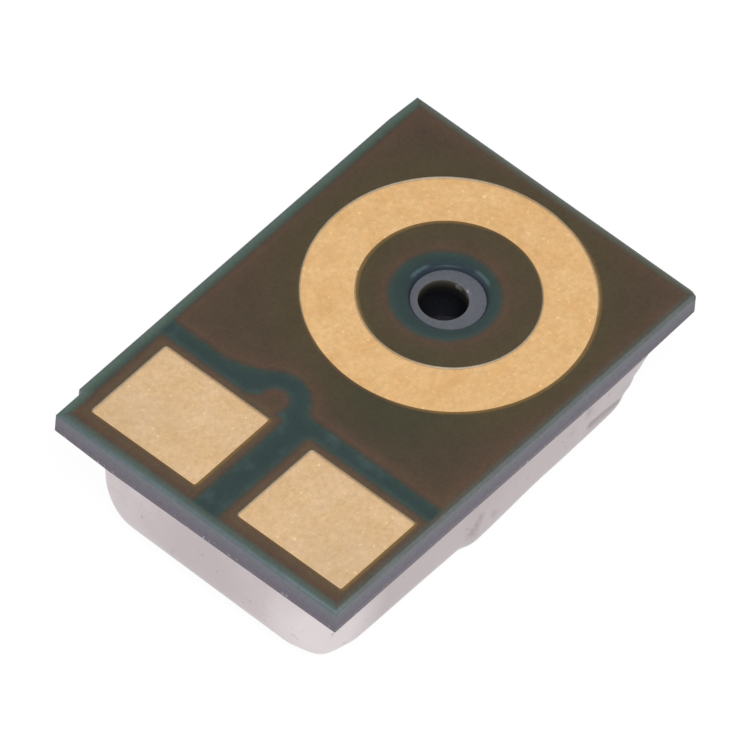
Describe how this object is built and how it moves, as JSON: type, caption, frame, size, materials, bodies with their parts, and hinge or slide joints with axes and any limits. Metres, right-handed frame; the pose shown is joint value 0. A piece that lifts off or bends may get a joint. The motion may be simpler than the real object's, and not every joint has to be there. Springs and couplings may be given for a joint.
{
  "type": "phone microphone",
  "caption": "Bottom-port silicon microphone: a small circuit board with a gold ring pad round the sound port and two gold pads, on a drawn metal lid.",
  "frame": {"origin": "centre of the package's box at the level of the lid's closed end, on which it lies", "axes": "+X along the board towards the sound port, +Y across it towards the pad with the via stub, +Z out of the pad side"},
  "size_m": [0.0028, 0.0018, 0.0008],
  "materials": {
    "solder_mask": "satin epoxy solder mask, olive brown over copper and teal over bare core",
    "copper": "plain etched copper",
    "gold_finish": "matt gold over nickel",
    "core": "sawn glass and resin laminate",
    "lid_metal": "drawn sheet with a satin nickel finish",
    "solder": "reflowed tin solder",
    "silicon": "etched silicon",
    "film": "thin silicon film",
    "oxide": "deposited oxide",
    "pad_metal": "bare sputtered aluminium",
    "wire_gold": "drawn gold wire",
    "soft_adhesive": "cured soft silicone",
    "die_adhesive": "cured epoxy film",
    "black_resin": "cured black epoxy"
  },
  "bodies": {
    "root": {"core_laminate": "core", "outer_ground_copper": "copper", "signal_pad_copper": "copper", "supply_pad_copper": "copper", "outer_solder_mask": "solder_mask", "ring_pad_plating": "gold_finish", "signal_pad_plating": "gold_finish", "supply_pad_plating": "gold_finish", "filled_vias": "copper", "inner_ground_copper": "copper", "inner_signal_trace": "copper", "inner_supply_trace": "copper", "inner_solder_mask": "solder_mask", "seal_frame_plating": "gold_finish", "bond_finger_plating": "gold_finish", "lid_solder_seam": "solder", "metal_lid": "lid_metal", "sensor_adhesive": "soft_adhesive", "sensor_silicon_frame": "silicon", "diaphragm": "film", "oxide_spacer": "oxide", "perforated_backplate": "film", "sensor_bond_pads": "pad_metal", "amplifier_adhesive": "die_adhesive", "amplifier_die": "silicon", "amplifier_bond_pads": "pad_metal", "sensor_bond_wires": "wire_gold", "board_bond_wires": "wire_gold", "amplifier_resin_drop": "black_resin"}
  },
  "joints": []
}
